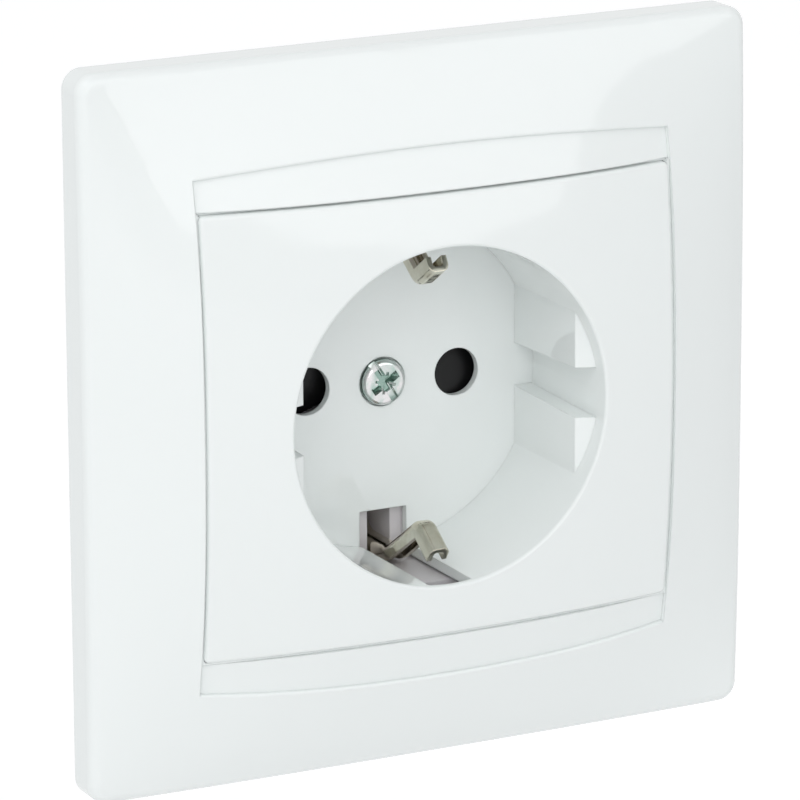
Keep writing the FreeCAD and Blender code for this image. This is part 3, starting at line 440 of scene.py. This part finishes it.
@dataclass(frozen=True)
class ScrewHead:
    """A slotted pan head, top at height 0 and seat below, with a cross recess where arm_length is given.

    A taper is the share of a cut's width that is left at its bottom. The skin is the outermost layer of the
    side, which gets a part of the painted shade.
    """

    radius: float
    height: float
    edge_radius: float = 0.45 * MM
    crown: float = 0.06 * MM
    slot_width: float = 0.95 * MM
    slot_depth: float = 0.95 * MM
    slot_taper: float = 0.995
    arm_length: float = 0.0
    arm_width: float = 0.95 * MM
    arm_depth: float = 1.35 * MM
    arm_taper: float = 0.72
    pit_radius: float = 0.98 * MM
    pit_depth: float = 1.42 * MM
    pit_shoulder: float = 0.2 * MM
    pit_taper: float = 0.6
    rib_length: float = 2.7 * MM
    rib_width: float = 0.34 * MM
    rib_depth: float = 0.7 * MM
    rib_taper: float = 0.6
    rounding: float = 0.03 * MM
    # Painted shade down the side: from this depth, at this share of the recess's painted shade
    side_painted_shade_depth: float = 0.3 * MM
    side_painted_shade: float = 0.6
    skin: float = 0.05 * MM

    def build(self) -> bpy.types.Object:
        """Turn the head and carve its recess.

        Returns:
            The head's object.
        """
        rim = self.radius - self.edge_radius
        fillet = arc((rim, -self.crown - self.edge_radius), self.edge_radius, 90, 0, 8)
        profile = [(0.0, 0.0), (rim / 2, -self.crown / 4), *fillet, (self.radius, -self.height),
                   (0.0, -self.height)]
        head = new_piece("screw_head", lambda shape: lathe(shape, profile))
        past_the_rim = 3 * self.radius
        tools = [cutting_bar(past_the_rim, self.slot_width, self.slot_depth, self.slot_taper, 0.0,
                             self.height)]
        if self.arm_length:
            tools += [cutting_bar(self.arm_length, self.arm_width, self.arm_depth, self.arm_taper, turn,
                                  self.height) for turn in (0.0, 90.0)]
            tools += [cutting_bar(self.rib_length, self.rib_width, self.rib_depth, self.rib_taper, turn,
                                  self.height) for turn in (45.0, -45.0)]
            pit = [(0.0, self.height), (self.pit_radius, self.height), (self.pit_radius, -self.pit_shoulder),
                   (self.pit_radius * self.pit_taper, -self.arm_depth), (0.0, -self.pit_depth)]
            tools.append(new_piece("pit", lambda shape: lathe(shape, pit, 24)))
        carve(head, tools)
        round_edges(head, self.rounding)
        self.mark_recess(head)
        return head

    def mark_recess(self, head: bpy.types.Object) -> None:
        """Store on each point how much painted shade it gets: fully in the cross recess, partly down the
        side.

        Args:
            head: the carved head.
        """
        painted_shade = head.data.attributes.new("recess", "FLOAT", "POINT")
        under_slot, over_seat = self.slot_depth + self.rounding, self.height - self.rounding / 3
        for spot, vertex in zip(painted_shade.data, head.data.vertices):
            out, depth = vertex.co.xy.length, -vertex.co.z
            in_recess = under_slot < depth < over_seat and out < self.arm_length / 2
            on_side = out > self.radius - self.skin and depth > self.side_painted_shade_depth
            # Painted shade: full in the cross recess, the side's share on its skin, none elsewhere
            spot.value = 1.0 if in_recess else self.side_painted_shade if on_side else 0.0


@dataclass(frozen=True)
class Seat:
    """Where a screw sits: the middle of its head's seat, and the way its shank points."""

    place: tuple[float, float, float]
    way: tuple[float, float, float]
    turn: float = 0.0

    def euler(self) -> tuple[float, float, float]:
        """Rotation that takes the shank from Z to its way, after a turn about the shank, in radians."""
        spin = Matrix.Rotation(math.radians(self.turn), 4, "Z")
        return tuple((Vector(self.way).to_track_quat("Z", "Y").to_matrix().to_4x4() @ spin).to_euler())


@dataclass
class ThreadTree:
    """Geometry Nodes tree that threads a shank, adds the head and sets the screw on each seat."""

    name: str = "threaded_screw"
    facets: int = 40
    core_depth: float = 1.35

    def build(self) -> bpy.types.NodeTree:
        """Build the tree with its named inputs.

        Returns:
            The tree.
        """
        tree = bpy.data.node_groups.new(self.name, "GeometryNodeTree")
        tree.interface.new_socket("Geometry", in_out="INPUT", socket_type="NodeSocketGeometry")
        tree.interface.new_socket("Head", in_out="INPUT", socket_type="NodeSocketObject")
        tree.interface.new_socket("Material", in_out="INPUT", socket_type="NodeSocketMaterial")
        for label in ("Radius", "Length", "Pitch", "Ridge"):
            tree.interface.new_socket(label, in_out="INPUT", socket_type="NodeSocketFloat")
        tree.interface.new_socket("Geometry", in_out="OUTPUT", socket_type="NodeSocketGeometry")
        given = add_node(tree, "NodeGroupInput").outputs
        head = add_node(tree, "GeometryNodeObjectInfo", {"transform_space": "ORIGINAL"},
                        {"Object": given["Head"]})
        joined = add_node(tree, "GeometryNodeJoinGeometry")
        for part in (head.outputs["Geometry"], self.ridge(tree, given), self.shank(tree, given)):
            tree.links.new(part, joined.inputs["Geometry"])
        turn = add_node(tree, "GeometryNodeInputNamedAttribute", {"data_type": "FLOAT_VECTOR"},
                        {"Name": "turn"})
        spun = add_node(tree, "FunctionNodeEulerToRotation", inputs={"Euler": turn.outputs["Attribute"]})
        placed = add_node(tree, "GeometryNodeInstanceOnPoints", inputs={
            "Points": given["Geometry"], "Instance": joined.outputs["Geometry"],
            "Rotation": spun.outputs["Rotation"]})
        real = add_node(tree, "GeometryNodeRealizeInstances", inputs={
            "Geometry": placed.outputs["Instances"]})
        dressed = add_node(tree, "GeometryNodeSetMaterial", inputs={
            "Geometry": real.outputs["Geometry"], "Material": given["Material"]})
        add_node(tree, "NodeGroupOutput", inputs={"Geometry": dressed.outputs["Geometry"]})
        return tree

    def maths(self, tree: bpy.types.NodeTree, operation: str, first: Any,
              second: Any) -> bpy.types.NodeSocket:
        """Output of one maths node on two values."""
        return add_node(tree, "ShaderNodeMath", {"operation": operation}, {0: first, 1: second}).outputs[0]

    def ridge(self, tree: bpy.types.NodeTree, given: Any) -> bpy.types.NodeSocket:
        """Sweep the thread's ridge, an equilateral section with its point outwards, along a helix.

        Args:
            tree: the tree that gets the nodes.
            given: the tree's inputs by name.

        Returns:
            The ridge's mesh socket.
        """
        middle = self.maths(tree, "SUBTRACT", given["Radius"], given["Ridge"])
        turns = self.maths(tree, "DIVIDE", given["Length"], given["Pitch"])
        helix = add_node(tree, "GeometryNodeCurveSpiral", inputs={
            "Resolution": self.facets, "Rotations": turns, "Start Radius": middle, "End Radius": middle,
            "Height": given["Length"]})
        upright = add_node(tree, "GeometryNodeSetCurveNormal", {"mode": "Z_UP"},
                           {"Curve": helix.outputs["Curve"]})
        section = add_node(tree, "GeometryNodeCurvePrimitiveCircle", {"mode": "RADIUS"},
                           {"Resolution": 3, "Radius": given["Ridge"]})
        swept = add_node(tree, "GeometryNodeCurveToMesh", inputs={
            "Curve": upright.outputs["Curve"], "Profile Curve": section.outputs["Curve"], "Fill Caps": True})
        return swept.outputs["Mesh"]

    def shank(self, tree: bpy.types.NodeTree, given: Any) -> bpy.types.NodeSocket:
        """Stand the core of the shank from the seat to the tip, as thick as the thread is at its foot.

        Args:
            tree: the tree that gets the nodes.
            given: the tree's inputs by name.

        Returns:
            The core's mesh socket.
        """
        depth = self.maths(tree, "MULTIPLY", given["Ridge"], self.core_depth)
        core = self.maths(tree, "SUBTRACT", given["Radius"], depth)
        shank = add_node(tree, "GeometryNodeMeshCylinder", inputs={
            "Vertices": self.facets, "Radius": core, "Depth": given["Length"]})
        half = self.maths(tree, "MULTIPLY", given["Length"], 0.5)
        up = add_node(tree, "ShaderNodeCombineXYZ", inputs={"Z": half})
        moved = add_node(tree, "GeometryNodeTransform", inputs={
            "Geometry": shank.outputs["Mesh"], "Translation": up.outputs["Vector"]})
        return moved.outputs["Geometry"]


@dataclass
class ThreadedScrews:
    """A set of like screws that stands for one or more CAD nodes."""

    name: str
    nodes: list[str]
    seats: list[Seat]
    head: ScrewHead
    radius: float
    length: float
    pitch: float
    # The ridge's section is equilateral, so at this share its base takes nine tenths of the pitch
    ridge_share: float = 0.52

    def build(self, tree: bpy.types.NodeTree, finishes: Finishes) -> bpy.types.Object:
        """Set the screws on their seats as one mesh.

        Args:
            tree: the thread tree.
            finishes: the shared finishes.

        Returns:
            The finished piece, riding on the socket's body.
        """
        head = self.head.build()
        # The head's seat goes to height 0, with its top on the side away from the shank
        head.data.transform(Matrix.Diagonal((1, -1, -1, 1)) @ Matrix.Translation((0, 0, self.head.height)))
        mesh = bpy.data.meshes.new(self.name)
        mesh.from_pydata([seat.place for seat in self.seats], [], [])
        turns = mesh.attributes.new("turn", "FLOAT_VECTOR", "POINT")
        for spot, seat in zip(turns.data, self.seats):
            spot.vector = seat.euler()
        piece = bpy.data.objects.new(self.name, mesh)
        bpy.context.scene.collection.objects.link(piece)
        threads = piece.modifiers.new("threads", "NODES")
        threads.node_group = tree
        values = {"Head": head, "Material": finishes.get(Finish.SCREW), "Radius": self.radius,
                  "Length": self.length, "Pitch": self.pitch, "Ridge": self.ridge_share * self.pitch}
        for item in tree.interface.items_tree:
            if item.in_out == "INPUT" and item.name in values:
                threads[item.identifier] = values[item.name]
        apply_modifiers(piece)
        bpy.data.objects.remove(head)
        shade(piece)
        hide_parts(*self.nodes)
        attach(piece, BODY)
        LOG.info("built %s for %s", self.name, ", ".join(self.nodes))
        return piece


@dataclass
class Screws:
    """All the screws, each on the seat that its CAD node has."""

    finishes: Finishes
    cover: ScrewHead = ScrewHead(2.7 * MM, 1.5 * MM, edge_radius=0.6 * MM, arm_length=3.7 * MM)
    cover_radius: float = 1.5 * MM
    cover_pitch: float = 0.5 * MM
    cover_turn: float = 58.0
    ring: ScrewHead = ScrewHead(2.3 * MM, 1.5 * MM)
    ring_radius: float = 1.25 * MM
    ring_pitch: float = 1.0 * MM
    ring_turns: tuple[float, ...] = (20.0, -35.0, 70.0, 5.0)
    rear_turns: tuple[float, ...] = (50.0, 12.0)
    terminal: ScrewHead = ScrewHead(2.6 * MM, 1.9 * MM)
    terminal_radius: float = 1.65 * MM
    terminal_pitch: float = 0.6 * MM
    terminal_turn: float = 15.0

    def build(self) -> None:
        """Read the seats from the CAD nodes and build every set."""
        tree = ThreadTree().build()
        into, out = (0.0, 1.0, 0.0), (0.0, -1.0, 0.0)
        low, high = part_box("cover_screw")
        seat = Seat((0.0, low.y + self.cover.height, 0.0), into, self.cover_turn)
        ThreadedScrews("cover_screw_threaded", ["cover_screw"], [seat], self.cover, self.cover_radius,
                       high.y - low.y - self.cover.height, self.cover_pitch).build(tree, self.finishes)
        low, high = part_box("ring_screws")
        reach = high.x - self.ring.radius
        corners = [(x, z) for x in (-reach, reach) for z in (-reach, reach)]
        seats = [Seat((x, low.y + self.ring.height, z), into, turn)
                 for (x, z), turn in zip(corners, self.ring_turns)]
        ThreadedScrews("ring_screws_threaded", ["ring_screws"], seats, self.ring, self.ring_radius,
                       high.y - low.y - self.ring.height, self.ring_pitch).build(tree, self.finishes)
        low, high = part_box("rear_cover_screws")
        reach = high.z - self.ring.radius
        seats = [Seat((0.0, high.y - self.ring.height, z), out, turn)
                 for z, turn in zip((reach, -reach), self.rear_turns)]
        ThreadedScrews("rear_screws_threaded", ["rear_cover_screws"], seats, self.ring, self.ring_radius,
                       high.y - low.y - self.ring.height, self.ring_pitch).build(tree, self.finishes)
        self.terminals(tree)

    def terminals(self, tree: bpy.types.NodeTree) -> None:
        """Build the three terminal screws as one piece.

        Args:
            tree: the thread tree.
        """
        height = self.terminal.height
        seats = []
        for node, way in (("line", (-1, 0, 0)), ("neutral", (1, 0, 0)), ("earth", (0, 0, 1))):
            low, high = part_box(f"terminal_screw_{node}")
            middle = (low + high) / 2
            along = Vector(way)
            half = (high - low).dot(Vector([abs(v) for v in way])) / 2
            seats.append(Seat(tuple(middle - along * (half - height)), way, self.terminal_turn))
        ThreadedScrews("terminal_screws_threaded",
                       ["terminal_screw_line", "terminal_screw_neutral", "terminal_screw_earth"], seats,
                       self.terminal, self.terminal_radius, 2 * half - height, self.terminal_pitch
                       ).build(tree, self.finishes)


@dataclass
class SpringWire:
    """Open ring spring of the shutter.

    Its hub end turns with the shutter, and its other end stays in the base.
    """

    node: bpy.types.Object
    finishes: Finishes
    hub_end_height: float = -3.6 * MM

    def build(self) -> bpy.types.Object:
        """Merge the CAD wire into one piece with the wire's finish, shaded smooth.

        Returns:
            The piece.
        """
        piece = new_piece("shutter_spring_wire", lambda shape: shape.from_mesh(self.node.data))
        piece.data.materials.clear()
        piece.data.materials.append(self.finishes.get(Finish.WIRE))
        shade(piece)
        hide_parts("shutter_spring")
        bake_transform(piece)
        LOG.info("built %s", piece.name)
        return piece


@dataclass
class JointLip:
    """Thin lip of the frame that closes the joint round the centre cover a little behind the surface."""

    cover: bpy.types.Object
    finishes: Finishes
    gap: float = 0.3 * MM
    play: float = 0.01 * MM
    height: float = 1.0 * MM
    sunk: float = 0.1 * MM
    sunk_top: float = 0.6 * MM
    bin_size: float = 0.25 * MM
    on_side: float = 0.005 * MM
    corner_leg: float = 0.3 * MM
    steps: int = 48

    def front_edge(self, axis: int, side: float) -> tuple[list[float], list[float]]:
        """Where the cover's front edge runs on one side.

        Args:
            axis: 0 for a left or right side, 2 for the top or the bottom.
            side: the side's place on that axis.

        Returns:
            Places along the side, and the edge's Y at each.
        """
        edge: dict[int, float] = {}
        for vertex in self.cover.data.vertices:
            if abs(vertex.co[axis] - side) < self.on_side:
                spot = round(vertex.co[2 - axis] / self.bin_size)
                edge[spot] = min(edge.get(spot, 1.0), vertex.co.y)
        return [spot * self.bin_size for spot in sorted(edge)], [edge[spot] for spot in sorted(edge)]

    def bar(self, shape: bmesh.types.BMesh, axis: int, sign: float, side: float, reach: float) -> None:
        """Add the lip's bar on one side.

        Args:
            shape: the bmesh that gets the bar.
            axis: 0 for a left or right side, 2 for the top or the bottom.
            sign: which of the two sides.
            side: how far the cover reaches on that axis.
            reach: half the bar's length.
        """
        places, edge = self.front_edge(axis, sign * side)
        sunk = self.sunk_top if axis == 2 and sign > 0 else self.sunk
        rings = []
        for i in range(self.steps + 1):
            along = reach * (2 * i / self.steps - 1)
            front = float(numpy.interp(along, places, edge)) + sunk
            ring = []
            for out, y in ((self.play, front), (self.gap - self.play, front),
                           (self.gap - self.play, front + self.height), (self.play, front + self.height)):
                corner = Vector((along, y, along))
                corner[axis] = sign * (side + out)
                ring.append(shape.verts.new(corner))
            rings.append(ring)
        for first, second in zip(rings, rings[1:]):
            for i in range(4):
                j = (i + 1) % 4
                shape.faces.new([first[i], first[j], second[j], second[i]])
        shape.faces.new(rings[0])
        shape.faces.new(rings[-1])

    def post(self, shape: bmesh.types.BMesh, right: float, up: float, side: float, top: float) -> None:
        """Fill most of the open triangle beside one rounded corner of the cover.

        Args:
            shape: the bmesh that gets the post.
            right: 1 for a right corner, -1 for a left one.
            up: 1 for an upper corner, -1 for a lower one.
            side: how far the cover reaches to the side.
            top: how far the cover reaches up.
        """
        edge = self.front_edge(0, right * side)[1]
        front = (edge[-1] if up > 0 else edge[0]) + self.sunk
        x, z = side + self.play, top + self.play
        outline = [(x, z), (x - self.corner_leg, z), (x, z - self.corner_leg)]
        near, far = [[shape.verts.new((right * u, y, up * v)) for u, v in outline]
                     for y in (front, front + self.height)]
        shape.faces.new(near)
        shape.faces.new(far[::-1])
        for i in range(3):
            j = (i + 1) % 3
            shape.faces.new([near[i], far[i], far[j], near[j]])

    def build(self) -> bpy.types.Object:
        """Build the four bars and the posts between them as one piece.

        Returns:
            The piece, riding on the socket's body.
        """
        low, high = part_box("centre_cover")

        def fill(shape: bmesh.types.BMesh) -> None:
            """Add the bars of all four sides, and the posts of the four corners.

            Args:
                shape: the bmesh that gets the bars.
            """
            for sign in (-1.0, 1.0):
                self.bar(shape, 0, sign, high.x, high.z + self.gap - self.play)
                self.bar(shape, 2, sign, high.z, high.x)
                for up in (-1.0, 1.0):
                    self.post(shape, sign, up, high.x, high.z)
        piece = new_piece("joint_lip", fill)
        piece.data.materials.append(self.finishes.get(Finish.WHITE))
        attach(piece, BODY)
        LOG.info("built %s", piece.name)
        return piece


class Reach(Enum):
    """What a soft box does: light the object, show in its gloss, or both."""

    BOTH = "both"
    LIGHT_ONLY = "light only"
    MIRROR_ONLY = "mirror only"


@dataclass(frozen=True)
class SoftBox:
    """A soft box that faces the object: azimuth to the right of the front and elevation in degrees, metres,
    and a radiance at which 1 is white."""

    name: str
    azimuth: float
    elevation: float
    distance: float
    width: float
    height: float
    radiance: float
    reach: Reach = Reach.BOTH

    def build(self) -> None:
        """Hang the box, and hide it from the light or the mirror image that it takes no part in."""
        data = bpy.data.lights.new(self.name, "AREA")
        data.shape, data.size, data.size_y = "RECTANGLE", self.width, self.height
        data.energy = self.radiance * math.pi * self.width * self.height
        lamp = bpy.data.objects.new(self.name, data)
        bpy.context.scene.collection.objects.link(lamp)
        a, e = math.radians(self.azimuth), math.radians(self.elevation)
        place = Vector((math.sin(a) * math.cos(e), -math.cos(a) * math.cos(e), math.sin(e))) * self.distance
        lamp.matrix_world = Matrix.Translation(place) @ place.to_track_quat("Z", "Y").to_matrix().to_4x4()
        lamp.visible_glossy = self.reach is not Reach.LIGHT_ONLY
        lamp.visible_diffuse = self.reach is not Reach.MIRROR_ONLY


@dataclass
class Studio:
    """Plain pale floor, soft lamps and the camera of the photograph."""

    floor_height: float = -0.13
    floor_size: float = 6.0
    floor_colour: str = "FAFAFA"
    floor_roughness: float = 0.9
    floor_lift: float = 0.3
    image_width_px: float = 800.0
    focal_px: float = 5621.3
    sensor_mm: float = 36.0
    camera_place: tuple[float, float, float] = (-0.27766, -0.54681, 0.16685)
    yaw: float = -26.867
    pitch: float = 15.289
    roll: float = -0.228
    clip: tuple[float, float] = (0.01, 20.0)
    tent_tint: tuple[float, float, float, float] = (0.98, 0.99, 1.0, 1.0)
    bright_side: tuple[float, float, float] = (-0.5, -0.45, 0.75)
    bright_level: float = 0.89
    dim_level: float = 0.1
    boxes: tuple[SoftBox, ...] = (
        SoftBox("front_key", -22.0, 26.0, 1.5, 0.8, 0.8, 1.6, Reach.LIGHT_ONLY),
        SoftBox("upper_left_box", -46.0, 46.0, 1.6, 1.0, 0.9, 0.88),
        # Its mirror image covers the top of the frame and of the cover, and ends short of the right corner
        SoftBox("long_reflector", 9.0, 25.0, 2.0, 2.35, 1.65, 1.1, Reach.MIRROR_ONLY),
    )

    def camera(self) -> None:
        """Put the camera where the photograph was taken from."""
        data = bpy.data.cameras.new("camera")
        data.sensor_width = self.sensor_mm
        data.lens = self.focal_px / self.image_width_px * self.sensor_mm
        data.clip_start, data.clip_end = self.clip
        camera = bpy.data.objects.new("camera", data)
        bpy.context.scene.collection.objects.link(camera)
        turn = (Matrix.Rotation(math.radians(self.yaw), 4, "Z")
                @ Matrix.Rotation(math.radians(90 - self.pitch), 4, "X")
                @ Matrix.Rotation(math.radians(self.roll), 4, "Z"))
        camera.matrix_world = Matrix.Translation(self.camera_place) @ turn
        bpy.context.scene.camera = camera

    def seen(self, tree: bpy.types.NodeTree) -> bpy.types.NodeSocket:
        """Tell the rays that look at the background, straight or through gloss, metal or glass.

        Args:
            tree: the tree that gets the nodes.

        Returns:
            The socket of a value that is 1 for such a ray, and 0 for one that carries light.
        """
        rays = add_node(tree, "ShaderNodeLightPath").outputs
        looked = add_node(tree, "ShaderNodeMath", {"operation": "MAXIMUM"}, {
            0: rays["Is Camera Ray"], 1: rays["Is Glossy Ray"]})
        return add_node(tree, "ShaderNodeMath", {"operation": "MAXIMUM"}, {
            0: looked.outputs[0], 1: rays["Is Transmission Ray"]}).outputs[0]

    def world(self) -> None:
        """White to the eye, and to the light a tent that is brighter from the upper left."""
        world = bpy.data.worlds.new("studio")
        bpy.context.scene.world = world
        world.use_nodes = True
        tree = world.node_tree
        tree.nodes.clear()
        way = add_node(tree, "ShaderNodeTexCoord").outputs["Generated"]
        side = add_node(tree, "ShaderNodeVectorMath", {"operation": "DOT_PRODUCT"},
                        {0: way, 1: Vector(self.bright_side).normalized()})
        level = add_node(tree, "ShaderNodeMapRange", inputs={
            "Value": side.outputs["Value"], "From Min": -1.0, "From Max": 1.0,
            "To Min": self.dim_level, "To Max": self.bright_level})
        tent = add_node(tree, "ShaderNodeBackground", inputs={
            "Color": self.tent_tint, "Strength": level.outputs["Result"]})
        white = add_node(tree, "ShaderNodeBackground", inputs={"Color": (1, 1, 1, 1), "Strength": 1.0})
        mixed = add_node(tree, "ShaderNodeMixShader", inputs={
            0: self.seen(tree), 1: tent.outputs[0], 2: white.outputs[0]})
        add_node(tree, "ShaderNodeOutputWorld", inputs={"Surface": mixed.outputs[0]})

    def floor(self) -> None:
        """Lay matt white paper, lifted to white for the rays that look at it, with the shadow left on it."""
        half = self.floor_size / 2
        corners = [(-half, -half), (half, -half), (half, half), (-half, half)]
        floor = new_piece("floor", lambda shape: shape.faces.new(
            [shape.verts.new((x, y, self.floor_height)) for x, y in corners]))
        material = bpy.data.materials.new("matt_white_paper")
        material.use_nodes = True
        tree = material.node_tree
        shader = tree.nodes["Principled BSDF"]
        shader.inputs["Base Color"].default_value = linear(self.floor_colour)
        shader.inputs["Roughness"].default_value = self.floor_roughness
        strength = add_node(tree, "ShaderNodeMath", {"operation": "MULTIPLY"}, {
            0: self.seen(tree), 1: self.floor_lift})
        lift = add_node(tree, "ShaderNodeEmission", inputs={"Strength": strength.outputs[0]})
        both = add_node(tree, "ShaderNodeAddShader", inputs={0: shader.outputs[0], 1: lift.outputs[0]})
        tree.links.new(both.outputs[0], tree.nodes["Material Output"].inputs["Surface"])
        floor.data.materials.append(material)

    def build(self) -> None:
        """Set the whole studio up."""
        self.camera()
        self.world()
        self.floor()
        for box in self.boxes:
            box.build()
        bpy.context.scene.view_settings.view_transform = "Standard"


def main() -> None:
    """Dress the frame, add the finer pieces and set up the studio."""
    logging.basicConfig(level=logging.INFO)
    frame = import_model()
    finishes = Finishes()
    for part in frame["record"]["subparts"]:
        finishes.dress(frame["nodes"][part["node"]], part["material_slot"])
        LOG.info("dressed %s", part["node"])
    Screws(finishes).build()
    SpringWire(frame["nodes"]["shutter_spring"], finishes).build()
    JointLip(frame["nodes"]["centre_cover"], finishes).build()
    Studio().build()


if __name__ == "__main__":
    main()
